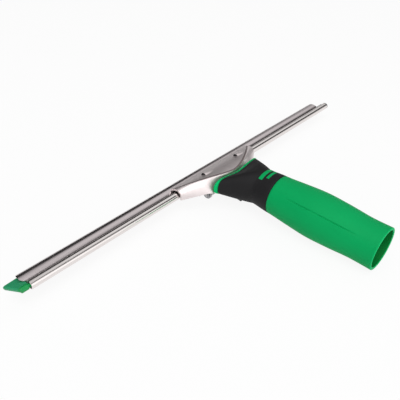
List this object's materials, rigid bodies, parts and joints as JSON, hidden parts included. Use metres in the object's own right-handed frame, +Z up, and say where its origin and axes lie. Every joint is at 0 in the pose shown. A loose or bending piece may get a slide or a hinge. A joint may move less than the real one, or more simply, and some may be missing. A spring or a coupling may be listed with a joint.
{
  "type": "window squeegee",
  "caption": "Window squeegee: steel channel with a rubber blade in a clamp head, green and black grip with a pole socket.",
  "frame": {"origin": "centre of the bounding box at the height of the surface on which the tool lies, on the blade's edge and the rim of the grip's open end", "axes": "+X along the channel towards its plugged right end, +Y from the grip towards the blade, +Z up; the grip's axis is tilted 2.8 degrees from +Y"},
  "size_m": [0.3626, 0.1694, 0.0361],
  "materials": {
    "stainless_cover": "satin",
    "stainless_channel": "bright",
    "steel_parts": "plain",
    "spring_steel": "bright",
    "green_plastic": "satin",
    "dark_plastic": "satin",
    "black_rubber": "matte",
    "white_plastic": "satin"
  },
  "bodies": {
    "handle": {"upper_jaw": "stainless_cover", "upper_pad": "black_rubber", "head_frame": "steel_parts", "jaw_rivets": "steel_parts", "handle_core": "green_plastic", "tang_pins": "steel_parts", "neck_grip": "black_rubber", "accent_bars": "green_plastic", "grip_sleeve": "green_plastic", "socket_liner": "dark_plastic", "hinge_pin": "steel_parts", "pin_clips": "spring_steel", "hinge_bushes": "white_plastic", "return_spring": "spring_steel"},
    "lower_jaw": {"lower_jaw": "stainless_cover", "lower_pad": "black_rubber", "trigger": "dark_plastic", "trigger_rivets": "steel_parts"},
    "channel": {"channel": "stainless_channel", "blade": "black_rubber", "left_end_clip": "green_plastic", "right_end_plug": "dark_plastic"}
  },
  "joints": [
    {"name": "jaw_hinge", "type": "hinge", "parent": "handle", "child": "lower_jaw", "pos_m": [0.0051, 0.0509, 0.00858], "axis": [-1, 0, 0], "range_deg": [0, 10], "stiffness_Nm_per_rad": 0.08, "springref_deg": -8.59, "deforming": ["return_spring"]},
    {"name": "channel_slide", "type": "slide", "parent": "handle", "child": "channel", "axis": [1, 0, 0], "range_m": [-0.1, 0.1]}
  ]
}
